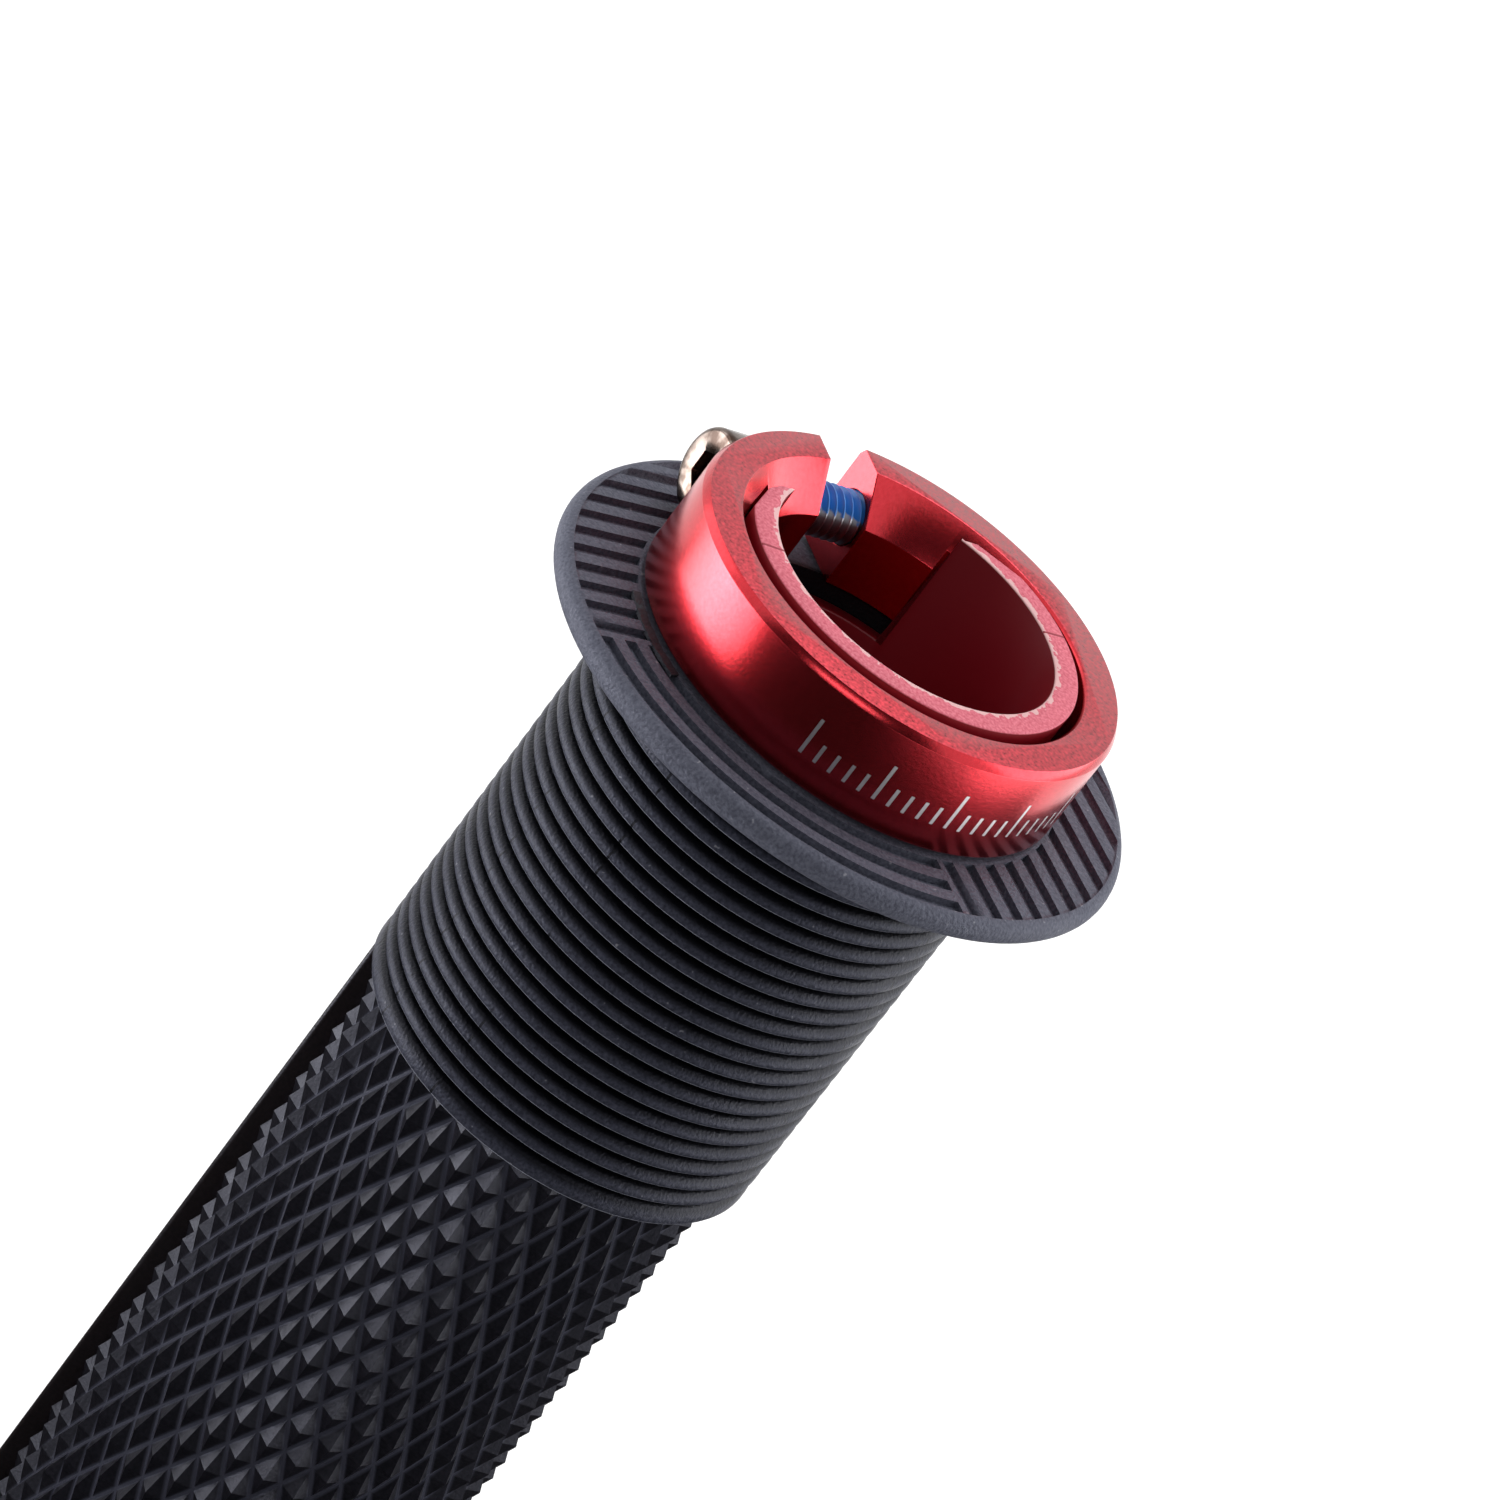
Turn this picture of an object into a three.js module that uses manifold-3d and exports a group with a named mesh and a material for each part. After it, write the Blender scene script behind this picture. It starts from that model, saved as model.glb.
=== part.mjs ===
// Flanged lock-on handlebar grip: a rubber sleeve moulded over a plastic core tube, which a split
// aluminium collar and one bolt clamp to the bar. Millimetres, +Z up along the bar, origin at the
// centre of the outboard end. The ribs, the flange and the clamp are at the top.
import * as THREE from "three";
import { mergeVertices } from "three/addons/utils/BufferGeometryUtils.js";
import Module from "manifold-3d";

// Driving sizes
const barDiameter = 22.2;
const barClearance = 0.1; // between the bar and the core tube's bore, all round
const gripLength = 135; // outboard end to the core tube's end face
const gap = 0.3; // between two pieces that meet

// Core tube: a thin tube in the sleeve, and a thicker hub in the collar
const coreWall = 1.2;
const hubWall = 1.9;
const hubProud = 0.2; // the hub's end stands this far out of the collar
// Each flat: degrees from the split to its normal, and the wall of the hub that it leaves
const hubFlats = [
  { angle: -40.6, wall: 0.95 },
  { angle: 49.4, wall: 1.3 },
];
const hubCorner = { angle: 29.2, wall: 0.38 }; // taken off the end beside the second flat
const windowSunk = 1.6; // the window reaches this far below the flange's face

// Collar
const collarCover = 0.625; // collar left above and below the bolt's head
const collarOver = 1.2; // collar left outside the bolt
const collarBoreClearance = 0.65; // hub to collar bore
const keyClearance = 0.3; // the hub's flats to the collar's
const collarChamferWide = 0.35;
const collarChamferTall = 0.62;
const collarBoreChamfer = 0.2;
const splitAngle = 220.6; // degrees from +X to the middle of the split
const splitWidth = 4.1;
const padClearance = 0.15; // core tube's bore to the clamping pad's, all round
const padHalfAngle = 39; // degrees from the split to each end of the pad
const coneTall = 3.1; // from the collar's end face to the foot of its cone, at the pad's bore

// Clamp bolt: M4 socket head cap screw
const boltDiameter = 4;
const boltLength = 12;
const headDiameter = 6.9;
const headHeight = 3.8;
const headEdge = 0.4;
const socketAcross = 3;
const socketDeep = 2;
const boltCover = 0.25; // pad's bore to the bolt
const headSeat = 6.6; // middle of the split to the underside of the head
const headClearance = 0.2; // head to its pocket, all round

// Sleeve
const sleeveWall = 1.75; // sleeve's bore to the tips of the knurl
const ribWall = 3.15; // sleeve's bore to the tops of the ribs
const ribWidth = 1.02;
const ribGroove = 0.5;
const ribGrooveDeep = 1.3;
const ribCount = 22;
const edgeBand = 1.5; // the plain band that ends the ribs
const flangeDiameter = 45.8;
const flangeThick = 2.15;
const neckGroove = 0.25; // between the flange's back and the first rib
const stripHeight = 1.15; // the smooth strip and the end ring stand this far over the knurl
const stripFrom = -144; // degrees
const stripTo = -84;
const endRing = 6;
const endRound = 2;
const endLip = 1.2; // the rubber that covers the core tube's outboard end

// Moulded grooves in the flange's face
const grooveDeep = 0.6;
const grooveWidth = 1;
const groovePitch = 2.04;
const grooveField = 45; // degrees from +X to the edge of the straight grooves
const arcHalfAngle = 43;
const grooveMargin = 0.2; // collar to the grooves
const rimLand = 0.8; // grooves to the flange's edge

const wasm = await Module();
wasm.setup();

const radians = THREE.MathUtils.degToRad;
const sides = 36; // facets of the sleeve and of what is cut in it
const fineSides = 48; // facets of the core tube and of the collar
const boltSides = 24; // facets of the bolt, its hole and its head's pocket
const arcSteps = 3; // steps in each rounded edge

// Sizes that follow
const boreRadius = barDiameter / 2 + barClearance;
const coreRadius = boreRadius + coreWall;
const hubRadius = boreRadius + hubWall;
const padRadius = boreRadius + padClearance;
const windowReach = padRadius * Math.cos(radians(padHalfAngle)) - gap; // axis to the window's plane
const boltOutset = padRadius + boltCover + boltDiameter / 2; // grip axis to bolt axis
const collarBore = hubRadius + collarBoreClearance;
const collarRadius = boltOutset + boltDiameter / 2 + collarOver;
const collarHeight = headDiameter + 2 * collarCover;
const collarTop = gripLength - hubProud;
const collarBottom = collarTop - collarHeight;
const flangeFace = collarBottom - gap;
const flangeBack = flangeFace - flangeThick;
const sleeveBore = coreRadius + gap;
const knurlRadius = sleeveBore + sleeveWall;
const ribRadius = sleeveBore + ribWall;
const ribPitch = ribWidth + ribGroove;
const ribsBottom = flangeBack - neckGroove - ribCount * ribPitch - edgeBand;
const stripRadius = knurlRadius + stripHeight;
const flangeRadius = flangeDiameter / 2;
const grooveInner = collarRadius + grooveMargin;
const grooveOuter = flangeRadius - rimLand;
const boltZ = collarBottom + collarHeight / 2;
const holeRadius = boltDiameter / 2 + gap;
const pocketRadius = headDiameter / 2 + headClearance;

// A closed geometry as a solid that can be joined and cut.
function solid(geometry) {
  const bare = new THREE.BufferGeometry();
  bare.setAttribute("position", geometry.getAttribute("position"));
  if (geometry.index) bare.setIndex(geometry.index);
  const merged = mergeVertices(bare, 1e-4);
  return new wasm.Manifold(
    new wasm.Mesh({
      numProp: 3,
      vertProperties: merged.getAttribute("position").array,
      triVerts: new Uint32Array(merged.index.array),
    }),
  );
}

// A solid as a named mesh.
function piece(name, body, material) {
  const { vertProperties, triVerts } = body.getMesh();
  const geometry = new THREE.BufferGeometry();
  geometry.setAttribute("position", new THREE.BufferAttribute(vertProperties, 3));
  geometry.setIndex(new THREE.BufferAttribute(triVerts, 1));
  geometry.computeVertexNormals();
  const mesh = new THREE.Mesh(geometry, material);
  mesh.name = name;
  return mesh;
}

// A closed path of (radius, height) turned about the Z axis.
function turned(path, facets) {
  const points = path.getPoints(arcSteps);
  return solid(new THREE.LatheGeometry(points, facets).rotateX(Math.PI / 2));
}

// A turned ring of rectangular section.
function ring(inner, outer, bottom, top, facets) {
  const path = new THREE.Path();
  path.moveTo(inner, bottom).lineTo(outer, bottom);
  path.lineTo(outer, top).lineTo(inner, top).lineTo(inner, bottom);
  return turned(path, facets);
}

// A wedge about the Z axis, from one angle to another in degrees, tall enough to hold the part.
function wedge(from, to) {
  const reach = 4 * flangeRadius;
  const shape = new THREE.Shape();
  shape.moveTo(0, 0);
  for (const share of [0, 0.5, 1]) {
    const angle = radians(from + share * (to - from));
    shape.lineTo(reach * Math.cos(angle), reach * Math.sin(angle));
  }
  shape.lineTo(0, 0);
  const depth = 2 * gripLength;
  return solid(
    new THREE.ExtrudeGeometry(shape, { depth, bevelEnabled: false }).translate(0, 0, -gripLength / 2),
  );
}

// A box given by its two corners, turned about the Z axis.
function turnedBox(low, high, angle) {
  const box = new THREE.BoxGeometry(high[0] - low[0], high[1] - low[1], high[2] - low[2]);
  box.translate((low[0] + high[0]) / 2, (low[1] + high[1]) / 2, (low[2] + high[2]) / 2);
  return solid(box.rotateZ(radians(angle)));
}

// A round bar along the bolt, from one distance past the split to another.
function boltBar(radius, from, to) {
  const bar = new THREE.CylinderGeometry(radius, radius, to - from, boltSides);
  bar.translate(boltOutset, (from + to) / 2, boltZ);
  return solid(bar.rotateZ(radians(splitAngle)));
}

// The straight grooves of one side of the flange, all parallel to the edge of their field.
function straightGrooves(side) {
  const floor = flangeFace - grooveDeep;
  let field;
  for (let start = 0; start + grooveWidth < grooveOuter; start += groovePitch) {
    const low = [0, side > 0 ? start : -start - grooveWidth, floor];
    const high = [flangeRadius, low[1] + grooveWidth, flangeFace + 1];
    const groove = turnedBox(low, high, side * grooveField);
    field = field ? field.add(groove) : groove;
  }
  return field.intersect(ring(grooveInner, grooveOuter, floor - 1, flangeFace + 2, sides));
}

// The arc grooves about one end of the X axis, the outermost at the flange's rim.
function arcField(middle) {
  const floor = flangeFace - grooveDeep;
  let field;
  for (let outer = grooveOuter; outer - grooveWidth > grooveInner; outer -= groovePitch) {
    const arc = ring(outer - grooveWidth, outer, floor, flangeFace + 1, sides);
    field = field ? field.add(arc) : arc;
  }
  return field.intersect(wedge(middle - arcHalfAngle, middle + arcHalfAngle));
}

// Half section of the sleeve: bore, end lip, end ring, knurled grip, ribs and flange.
function sleeveSection() {
  const ribFloor = ribRadius - ribGrooveDeep;
  const rim = flangeThick / 2;
  const path = new THREE.Path();
  path.moveTo(sleeveBore, flangeFace).lineTo(sleeveBore, endLip);
  path.lineTo(boreRadius + gap, endLip).lineTo(boreRadius + gap, 0);
  path.lineTo(stripRadius - endRound, 0);
  path.absarc(stripRadius - endRound, endRound, endRound, -Math.PI / 2, 0);
  path.lineTo(stripRadius, endRing).lineTo(knurlRadius, endRing);
  path.lineTo(knurlRadius, ribsBottom).lineTo(ribRadius, ribsBottom);
  path.lineTo(ribRadius, ribsBottom + edgeBand);
  for (let rib = 0; rib < ribCount; rib++) {
    const grooveStart = ribsBottom + edgeBand + rib * ribPitch;
    path.lineTo(ribFloor, grooveStart).lineTo(ribFloor, grooveStart + ribGroove);
    path.lineTo(ribRadius, grooveStart + ribGroove).lineTo(ribRadius, grooveStart + ribPitch);
  }
  path.lineTo(ribFloor, flangeBack - neckGroove).lineTo(ribFloor, flangeBack);
  path.lineTo(flangeRadius - rim, flangeBack);
  path.absarc(flangeRadius - rim, flangeBack + rim, rim, -Math.PI / 2, Math.PI / 2);
  path.lineTo(sleeveBore, flangeFace);
  return path;
}

// One rubber moulding, with a smooth strip along the grip where the knurl is left out.
function gripSleeve() {
  const strip = ring(sleeveBore + gap, stripRadius, endRing - gap, ribsBottom + gap, sides);
  const body = turned(sleeveSection(), sides)
    .add(strip.intersect(wedge(stripFrom, stripTo)))
    .subtract(straightGrooves(1).add(straightGrooves(-1)))
    .subtract(arcField(0).add(arcField(180)));
  const rubber = new THREE.MeshStandardMaterial({ color: 0x2c2c31, roughness: 0.7, metalness: 0 });
  return piece("grip_sleeve", body, rubber);
}

// What a flat takes off, from its distance outwards, above a height.
function beyondFlat(angle, distance, bottom) {
  const reach = 2 * collarRadius;
  return turnedBox([distance, -reach, bottom], [reach, reach, gripLength + 1], splitAngle + angle);
}

// One plastic moulding. The hub has two flats, and is cut away at the clamp by one plane.
function coreTube() {
  const path = new THREE.Path();
  path.moveTo(boreRadius, endLip + gap).lineTo(coreRadius, endLip + gap);
  path.lineTo(coreRadius, flangeFace + gap);
  path.lineTo(hubRadius, flangeFace + gap).lineTo(hubRadius, gripLength);
  path.lineTo(boreRadius, gripLength).lineTo(boreRadius, endLip + gap);
  let body = turned(path, fineSides);
  body = body.subtract(beyondFlat(0, windowReach, flangeFace - windowSunk));
  for (const { angle, wall } of [...hubFlats, hubCorner]) {
    body = body.subtract(beyondFlat(angle, boreRadius + wall, flangeFace));
  }
  const plastic = new THREE.MeshStandardMaterial({ color: 0xb01030, roughness: 0.4, metalness: 0 });
  return piece("core_tube", body, plastic);
}

// Half section of the collar as turned: bored for the bar, with a cone in its outer end.
function collarSection() {
  const chamferTop = collarTop - collarChamferTall;
  const chamferBottom = collarBottom + collarBoreChamfer;
  const path = new THREE.Path();
  path.moveTo(padRadius, collarBottom).lineTo(collarRadius - collarBoreChamfer, collarBottom);
  path.lineTo(collarRadius, chamferBottom).lineTo(collarRadius, chamferTop);
  path.lineTo(collarRadius - collarChamferWide, collarTop);
  path.lineTo(collarBore + collarBoreChamfer, collarTop);
  path.lineTo(padRadius, collarTop - coneTall).lineTo(padRadius, collarBottom);
  return path;
}

// The room for the hub, keyed by its two flats. What it leaves beside the split is the clamping
// pad, which reaches through the hub's window to the bar.
function hubRoom() {
  const bottom = collarBottom - 1;
  let room = ring(boreRadius / 2, collarBore, bottom, collarTop + 1, fineSides);
  for (const { angle, wall } of hubFlats) {
    room = room.subtract(beyondFlat(angle, boreRadius + wall + keyClearance, bottom));
  }
  return room.subtract(wedge(splitAngle - padHalfAngle, splitAngle + padHalfAngle));
}

// One turned and milled piece: ring, room for the hub, split, bolt hole and pocket for the head.
function clampCollar() {
  const half = splitWidth / 2;
  const beyond = 2 * collarRadius;
  const split = turnedBox([0, -half, collarBottom - 1], [beyond, half, collarTop + 1], splitAngle);
  const body = turned(collarSection(), fineSides)
    .subtract(hubRoom())
    .subtract(split)
    .subtract(boltBar(holeRadius, -beyond, headSeat))
    .subtract(boltBar(pocketRadius, headSeat - gap, beyond));
  const anodised = new THREE.MeshStandardMaterial({ color: 0xc42c40, roughness: 0.3, metalness: 0.9 });
  return piece("clamp_collar", body, anodised);
}

// Screw with its axis on Z, the underside of its head at the origin and a hexagon socket.
function clampBolt() {
  const shank = boltDiameter / 2;
  const head = headDiameter / 2;
  const tip = -boltLength;
  const path = new THREE.Path();
  path.moveTo(0, tip).lineTo(shank - headEdge, tip).lineTo(shank, tip + headEdge);
  path.lineTo(shank, 0).lineTo(head, 0).lineTo(head, headHeight - headEdge);
  path.absarc(head - headEdge, headHeight - headEdge, headEdge, 0, Math.PI / 2);
  path.lineTo(0, headHeight);
  const socketRadius = socketAcross / 2 / Math.cos(Math.PI / 6);
  const socket = new THREE.CylinderGeometry(socketRadius, socketRadius, 2 * socketDeep, 6);
  socket.rotateX(Math.PI / 2).translate(0, 0, headHeight);
  const body = turned(path, boltSides).subtract(solid(socket));
  const steel = new THREE.MeshStandardMaterial({ color: 0xb9bcc2, roughness: 0.25, metalness: 1 });
  const bolt = piece("clamp_bolt", body, steel);
  bolt.position.set(boltOutset, headSeat, boltZ);
  bolt.rotation.x = -Math.PI / 2;
  const placed = new THREE.Group();
  placed.rotation.z = radians(splitAngle);
  placed.add(bolt);
  return placed;
}

const grip = new THREE.Group();
grip.add(gripSleeve(), coreTube(), clampCollar(), clampBolt());

export default grip;
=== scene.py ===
# A flanged lock-on handlebar grip, seen from its clamp end. The sections follow the grip as it is
# put together: the rubber sleeve, the core tube inside it, the clamp collar, its bolt, the studio.
import math

import bmesh
import bpy
from mathutils import Matrix, Quaternion, Vector


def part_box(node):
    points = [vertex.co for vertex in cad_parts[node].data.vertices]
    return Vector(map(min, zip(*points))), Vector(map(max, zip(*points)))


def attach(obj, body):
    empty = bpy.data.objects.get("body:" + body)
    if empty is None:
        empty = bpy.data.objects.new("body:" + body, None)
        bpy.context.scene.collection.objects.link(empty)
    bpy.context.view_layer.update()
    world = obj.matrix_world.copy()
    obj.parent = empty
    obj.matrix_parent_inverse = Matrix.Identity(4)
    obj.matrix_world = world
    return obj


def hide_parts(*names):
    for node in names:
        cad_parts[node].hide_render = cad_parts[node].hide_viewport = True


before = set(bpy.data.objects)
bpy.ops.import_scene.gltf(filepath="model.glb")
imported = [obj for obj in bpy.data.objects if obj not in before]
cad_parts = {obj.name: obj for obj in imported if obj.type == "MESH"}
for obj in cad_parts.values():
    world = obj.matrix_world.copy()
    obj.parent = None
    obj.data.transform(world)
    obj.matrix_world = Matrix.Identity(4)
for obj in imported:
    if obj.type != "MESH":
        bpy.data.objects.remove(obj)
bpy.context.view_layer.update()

# The sleeve's flange. The disc of the one rubber moulding that keeps the thumb off the lever, with
# a rounded rim. Its face is moulded with grooves: straight ones in two broad fields, and arcs that
# follow the rim in the two fields between them.
mm = 0.001
sleeve_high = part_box("grip_sleeve")[1]
collar_low, collar_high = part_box("clamp_collar")
flange_radius = sleeve_high.x
flange_face = sleeve_high.z
flange_back = flange_face - 2.15 * mm
flange_rim = 1.05 * mm
flange_neck = 15.3 * mm
sleeve_bore = 12.7 * mm
groove_deep = 0.55 * mm
groove_wide = 1.0 * mm
groove_pitch = 2.04 * mm
groove_inner = collar_high.x + 0.2 * mm
groove_outer = flange_radius - 0.8 * mm
groove_field = math.radians(45)
arc_half_angle = math.radians(43.5)


def arc(centre, radius, start, end, count):
    """Points of a circular arc of an outline, with angles in degrees."""
    turn = [math.radians(start + (end - start) * i / count) for i in range(count + 1)]
    return [(centre[0] + radius * math.cos(a), centre[1] + radius * math.sin(a)) for a in turn]


def edit():
    """Opens the active piece in edit mode, with all of it selected."""
    bpy.ops.object.mode_set(mode="EDIT")
    bpy.ops.mesh.select_mode(type="VERT")
    bpy.ops.mesh.select_all(action="SELECT")


def select_where(piece, kind, test):
    """Selects the points, edges or faces of a piece in edit mode that pass a test."""
    bpy.ops.mesh.select_all(action="DESELECT")
    bpy.ops.mesh.select_mode(type=kind)
    live = bmesh.from_edit_mesh(piece.data)
    for part in {"VERT": live.verts, "EDGE": live.edges, "FACE": live.faces}[kind]:
        part.select_set(test(part))
    live.select_flush_mode()
    bmesh.update_edit_mesh(piece.data)


def turned(name, outline, steps, start=0.0, sweep=2 * math.pi):
    """Traces a closed outline of radius and height, and spins it about the bar's axis."""
    bpy.ops.object.select_all(action="DESELECT")
    bpy.ops.mesh.primitive_plane_add(size=mm, location=(0, 0, 0))
    piece = bpy.context.object
    piece.name = name
    edit()
    bpy.ops.mesh.merge(type="CENTER")
    bpy.ops.transform.translate(value=(outline[0][0], 0, outline[0][1]))
    for here, there in zip(outline, outline[1:] + outline[:1]):
        step = (there[0] - here[0], 0, there[1] - here[1])
        bpy.ops.mesh.extrude_region_move(TRANSFORM_OT_translate={"value": step})
    bpy.ops.mesh.select_all(action="SELECT")
    bpy.ops.mesh.remove_doubles(threshold=0.002 * mm)
    bpy.ops.transform.rotate(value=-start, orient_axis="Z", center_override=(0, 0, 0))
    bpy.ops.mesh.spin(steps=steps, angle=-sweep, center=(0, 0, 0), axis=(0, 0, 1))
    bpy.ops.mesh.select_all(action="SELECT")
    bpy.ops.mesh.remove_doubles(threshold=0.002 * mm)
    if sweep < 2 * math.pi:
        bpy.ops.mesh.select_all(action="DESELECT")
        bpy.ops.mesh.select_non_manifold()
        bpy.ops.mesh.edge_face_add()
        bpy.ops.mesh.select_all(action="SELECT")
    bpy.ops.mesh.normals_make_consistent(inside=False)
    bpy.ops.object.mode_set(mode="OBJECT")
    return piece


def block(name, low, high, angle):
    """A box between two corners, turned about the bar's axis."""
    bpy.ops.object.select_all(action="DESELECT")
    bpy.ops.mesh.primitive_cube_add(size=1)
    box = bpy.context.object
    box.name = name
    box.scale = [high[i] - low[i] for i in range(3)]
    box.location = [(high[i] + low[i]) / 2 for i in range(3)]
    bpy.ops.object.transform_apply()
    box.rotation_euler.z = angle
    bpy.ops.object.transform_apply()
    return box


def apply_modifier(piece, kind, **settings):
    """Adds a modifier with its settings, and applies it at once."""
    bpy.ops.object.select_all(action="DESELECT")
    bpy.context.view_layer.objects.active = piece
    piece.select_set(True)
    modifier = piece.modifiers.new(kind.lower(), kind)
    for setting, value in settings.items():
        setattr(modifier, setting, value)
    bpy.ops.object.modifier_apply(modifier=modifier.name)


def shaped(piece, operation, tools):
    """Cuts a piece with other solids, joins it to them, or keeps what they share."""
    for tool in tools:
        apply_modifier(piece, "BOOLEAN", object=tool, operation=operation, solver="MANIFOLD")
        bpy.data.objects.remove(tool)
    return piece


def joined(pieces):
    """Makes one mesh of several, without welding them."""
    bpy.ops.object.select_all(action="DESELECT")
    for one in pieces:
        one.select_set(True)
    bpy.context.view_layer.objects.active = pieces[0]
    bpy.ops.object.join()
    return pieces[0]


def finished(piece, node, material, smooth=35):
    """Shades a piece, gives it its material, and puts it in the place of its CAD node."""
    bpy.ops.object.select_all(action="DESELECT")
    piece.select_set(True)
    bpy.context.view_layer.objects.active = piece
    bpy.ops.object.shade_smooth_by_angle(angle=math.radians(smooth))
    piece.data.materials.clear()
    piece.data.materials.append(material)
    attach(piece, "root")
    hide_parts(node)


def straight_grooves(side):
    """One cutter for the straight grooves on one side of the flange, all at 45 degrees to +X."""
    floor = flange_face - groove_deep
    bars = []
    start = 0
    while start + groove_wide < groove_outer:
        near = start if side > 0 else -start - groove_wide
        low = (0, near, floor)
        high = (flange_radius, near + groove_wide, flange_face + mm)
        bars.append(block("groove_bar", low, high, side * groove_field))
        start += groove_pitch
    field = turned(
        "groove_field",
        [
            (groove_inner, floor - mm),
            (groove_outer, floor - mm),
            (groove_outer, flange_face + 2 * mm),
            (groove_inner, flange_face + 2 * mm),
        ],
        steps=128,
    )
    return shaped(joined(bars), "INTERSECT", [field])


def arc_grooves(middle):
    """Cutters for one field of arc grooves about an angle, from the outermost one inwards."""
    floor = flange_face - groove_deep
    arcs = []
    outer = groove_outer
    while outer - groove_wide > groove_inner:
        corners = [(outer - groove_wide, floor), (outer, floor)]
        corners += [(outer, flange_face + mm), (outer - groove_wide, flange_face + mm)]
        first = middle - arc_half_angle
        arcs.append(turned("groove_arc", corners, 32, first, 2 * arc_half_angle))
        outer -= groove_pitch
    return arcs


rim_centre = (flange_radius - flange_rim, flange_back + flange_rim)
flange_outline = [(sleeve_bore, flange_face), (sleeve_bore, flange_back + 0.05 * mm)]
flange_outline += [(flange_neck, flange_back)]
flange_outline += arc(rim_centre, flange_rim, -90, 0, 6)
flange_outline += arc((rim_centre[0], flange_face - flange_rim), flange_rim, 0, 90, 6)
flange = turned("sleeve_flange", flange_outline, steps=144)
cutters = [straight_grooves(1), straight_grooves(-1)] + arc_grooves(0) + arc_grooves(math.pi)
shaped(flange, "DIFFERENCE", cutters)


def merged(piece):
    """Joins what the cuts left split: points that coincide, and faces that lie in one plane."""
    apply_modifier(piece, "WELD", merge_threshold=0.02 * mm)
    apply_modifier(piece, "DECIMATE", decimate_type="DISSOLVE", angle_limit=math.radians(0.5))
    return piece


apply_modifier(merged(flange), "WEIGHTED_NORMAL", keep_sharp=True)


def add(nodes, kind, **values):
    """A shader node with its settings, and with its inputs set or linked by name or number."""
    inputs = values.pop("inputs", {})
    node = nodes.new(kind)
    for setting, value in values.items():
        setattr(node, setting, value)
    for name, value in inputs.items():
        if isinstance(value, bpy.types.NodeSocket):
            node.id_data.links.new(value, node.inputs[name])
        else:
            node.inputs[name].default_value = value
    return node


def new_group(name, inputs, outputs):
    """An empty shader node group with named float inputs and its outputs' names and kinds."""
    group = bpy.data.node_groups.new(name, "ShaderNodeTree")
    for label, value in inputs.items():
        socket = group.interface.new_socket(label, in_out="INPUT", socket_type="NodeSocketFloat")
        socket.default_value = value
    for label, kind in outputs.items():
        group.interface.new_socket(label, in_out="OUTPUT", socket_type=kind)
    entry = group.nodes.new("NodeGroupInput")
    leave = group.nodes.new("NodeGroupOutput")
    return group, entry, leave


def material_named(name):
    """A material with only its Principled shader, and that shader's node and tree."""
    material = bpy.data.materials.new(name)
    material.use_nodes = True
    tree = material.node_tree
    return material, tree, tree.nodes["Principled BSDF"]


def maths(tree, operation, *values):
    inputs = dict(enumerate(values))
    return add(tree.nodes, "ShaderNodeMath", operation=operation, inputs=inputs).outputs[0]


def ramp(tree, value, low, high, to_low=0.0, to_high=1.0):
    """A value's way from one limit to another, held at both ends."""
    inputs = {"Value": value, "From Min": low, "From Max": high}
    inputs.update({"To Min": to_low, "To Max": to_high})
    return add(tree.nodes, "ShaderNodeMapRange", inputs=inputs).outputs[0]


def blend(tree, share, first, second):
    """One colour where the share is nought, and the other where it is one."""
    inputs = {"Factor": share, 6: first, 7: second}
    return add(tree.nodes, "ShaderNodeMix", data_type="RGBA", inputs=inputs).outputs[2]


def noise(tree, scale, detail):
    place = add(tree.nodes, "ShaderNodeTexCoord").outputs["Object"]
    inputs = {"Vector": place, "Scale": scale, "Detail": detail}
    return add(tree.nodes, "ShaderNodeTexNoise", inputs=inputs).outputs["Fac"]


def moulded_grain():
    """Fine grain of a spark-eroded mould, broad drier blotches, and a few specks of dust."""
    inputs = {"Grain size": 0.00025, "Blotch size": 0.004, "Speck size": 0.0005}
    outputs = dict.fromkeys(("Grain", "Blotches", "Specks"), "NodeSocketFloat")
    group, entry, leave = new_group("moulded_grain", inputs, outputs)
    for size, label, detail in (("Grain size", "Grain", 3.0), ("Blotch size", "Blotches", 4.0)):
        pattern = noise(group, maths(group, "DIVIDE", 1.0, entry.outputs[size]), detail)
        group.links.new(ramp(group, pattern, 0.3, 0.7), leave.inputs[label])
    pattern = noise(group, maths(group, "DIVIDE", 1.0, entry.outputs["Speck size"]), 1.0)
    group.links.new(ramp(group, pattern, 0.74, 0.8), leave.inputs["Specks"])
    return group


def place_on_grip():
    """The angle about the bar in degrees, and the distance from its axis and the height."""
    outputs = dict.fromkeys(("Angle", "Radius", "Height"), "NodeSocketFloat")
    group, entry, leave = new_group("place_on_grip", {}, outputs)
    place = add(group.nodes, "ShaderNodeTexCoord").outputs["Object"]
    x, y, z = add(group.nodes, "ShaderNodeSeparateXYZ", inputs={0: place}).outputs
    angle = maths(group, "DEGREES", maths(group, "ARCTAN2", y, x))
    squares = [maths(group, "POWER", maths(group, "ABSOLUTE", one), 2.0) for one in (x, y)]
    radius = maths(group, "SQRT", maths(group, "ADD", *squares))
    for label, value in (("Angle", angle), ("Radius", radius), ("Height", z)):
        group.links.new(value, leave.inputs[label])
    return group


grain_group = moulded_grain()
place_group = place_on_grip()


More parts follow.
